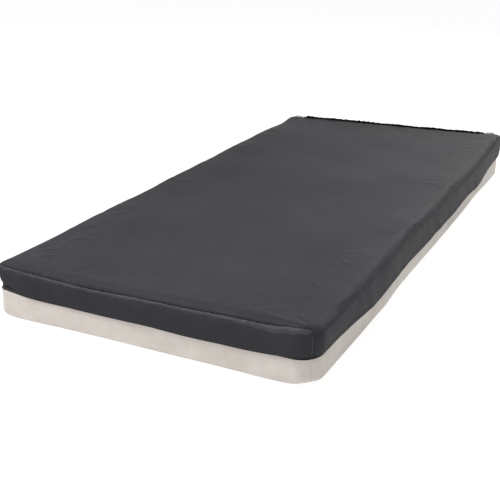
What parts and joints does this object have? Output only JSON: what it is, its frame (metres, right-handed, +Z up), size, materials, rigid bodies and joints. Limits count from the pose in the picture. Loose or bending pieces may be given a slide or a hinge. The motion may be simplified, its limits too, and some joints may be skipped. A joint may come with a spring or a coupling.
{
  "type": "pressure relief mattress",
  "caption": "Rectangular foam pressure relief mattress: dark coated stretch top cover with a hem that overhangs a pale zipped base, layered foam core inside, flexes for a profiling bed.",
  "frame": {"origin": "centre of the bottom face, on the bed deck", "axes": "+X across the width towards the zip slider's side, +Y towards the head end, +Z up"},
  "size_m": [0.914, 2.032, 0.161],
  "materials": {
    "top_fabric": "charcoal polyurethane-coated stretch knit, soft satin",
    "welt": "charcoal coated piping, soft satin",
    "bottom_fabric": "taupe-beige coated woven base fabric, matt",
    "seam_tape": "light grey seam tape",
    "lining_felt": "off-white needled flame barrier",
    "zip_tape": "woven zip tape",
    "zip_coil": "moulded zip coil",
    "zip_metal": "black enamelled die-cast slider",
    "zip_plastic": "moulded plastic",
    "base_foam": "firm open-cell base foam, pale blue",
    "rail_foam": "firm open-cell edge foam, pale grey",
    "support_foam": "medium open-cell support foam, pale yellow",
    "relief_foam": "soft visco-elastic relief foam, cream"
  },
  "bodies": {
    "back_section": {"bottom_cover_back": "bottom_fabric", "base_foam_back": "base_foam", "side_rails_back": "rail_foam", "support_foam_back": "support_foam", "relief_foam_back": "relief_foam", "lower_zip_tape_back": "zip_tape", "lower_zip_coil_back": "zip_coil", "zip_retainer_box": "zip_plastic"},
    "cover_back": {"top_cover_back": "top_fabric", "lining_back": "lining_felt", "upper_zip_tape_back": "zip_tape", "upper_zip_coil_back": "zip_coil", "head_end_panel": "top_fabric", "head_top_welt": "welt", "head_corner_welts": "welt", "head_seam_tacks": "seam_tape", "zip_insert_pin": "zip_plastic"},
    "seat_section": {"bottom_cover_seat": "bottom_fabric", "base_foam_seat": "base_foam", "side_rails_seat": "rail_foam", "support_foam_seat": "support_foam", "relief_foam_seat": "relief_foam", "lower_zip_tape_seat": "zip_tape", "lower_zip_coil_seat": "zip_coil"},
    "cover_seat": {"top_cover_seat": "top_fabric", "lining_seat": "lining_felt", "upper_zip_tape_seat": "zip_tape", "upper_zip_coil_seat": "zip_coil"},
    "thigh_section": {"bottom_cover_thigh": "bottom_fabric", "base_foam_thigh": "base_foam", "side_rails_thigh": "rail_foam", "support_foam_thigh": "support_foam", "relief_foam_thigh": "relief_foam", "lower_zip_tape_thigh": "zip_tape", "lower_zip_coil_thigh": "zip_coil"},
    "cover_thigh": {"top_cover_thigh": "top_fabric", "lining_thigh": "lining_felt", "upper_zip_tape_thigh": "zip_tape", "upper_zip_coil_thigh": "zip_coil"},
    "calf_section": {"bottom_cover_calf": "bottom_fabric", "base_foam_calf": "base_foam", "side_rails_calf": "rail_foam", "support_foam_calf": "support_foam", "relief_foam_calf": "relief_foam", "lower_zip_tape_calf": "zip_tape", "lower_zip_coil_calf": "zip_coil"},
    "cover_calf": {"top_cover_calf": "top_fabric", "lining_calf": "lining_felt", "upper_zip_tape_calf": "zip_tape", "upper_zip_coil_calf": "zip_coil", "foot_end_panel": "top_fabric", "foot_top_welt": "welt", "foot_corner_welts": "welt"},
    "zip_slider": {"zip_slider": "zip_metal"},
    "pull_tab": {"pull_tab": "zip_plastic"}
  },
  "joints": [
    {"name": "back_raise", "type": "hinge", "parent": "seat_section", "child": "back_section", "pos_m": [0, 0.256, 0.152], "axis": [1, 0, 0], "range_deg": [0, 60]},
    {"name": "knee_raise", "type": "hinge", "parent": "seat_section", "child": "thigh_section", "pos_m": [0, 0.026, 0.152], "axis": [-1, 0, 0], "range_deg": [0, 30]},
    {"name": "calf_level", "type": "hinge", "parent": "thigh_section", "child": "calf_section", "pos_m": [0, -0.314, 0], "axis": [1, 0, 0], "range_deg": [0, 30]},
    {"name": "cover_lift", "type": "slide", "parent": "seat_section", "child": "cover_seat", "axis": [0, 0, 1], "range_m": [0, 0.25]},
    {"name": "cover_back_raise", "type": "hinge", "parent": "cover_seat", "child": "cover_back", "pos_m": [0, 0.256, 0.152], "axis": [1, 0, 0], "range_deg": [0, 60]},
    {"name": "cover_knee_raise", "type": "hinge", "parent": "cover_seat", "child": "cover_thigh", "pos_m": [0, 0.026, 0.152], "axis": [-1, 0, 0], "range_deg": [0, 30]},
    {"name": "cover_calf_level", "type": "hinge", "parent": "cover_thigh", "child": "cover_calf", "pos_m": [0, -0.314, 0], "axis": [1, 0, 0], "range_deg": [0, 30]},
    {"name": "zip_travel", "type": "slide", "parent": "back_section", "child": "zip_slider", "axis": [0, -1, 0], "range_m": [0, 0.37]},
    {"name": "tab_swing", "type": "hinge", "parent": "zip_slider", "child": "pull_tab", "pos_m": [0.4535, 0.65, 0.0775], "axis": [1, 0, 0], "range_deg": [-70, 70]}
  ],
  "couplings": [
    {"joint": "calf_level", "follows": "knee_raise", "ratio": 1},
    {"joint": "cover_back_raise", "follows": "back_raise", "ratio": 1},
    {"joint": "cover_knee_raise", "follows": "knee_raise", "ratio": 1},
    {"joint": "cover_calf_level", "follows": "knee_raise", "ratio": 1}
  ]
}
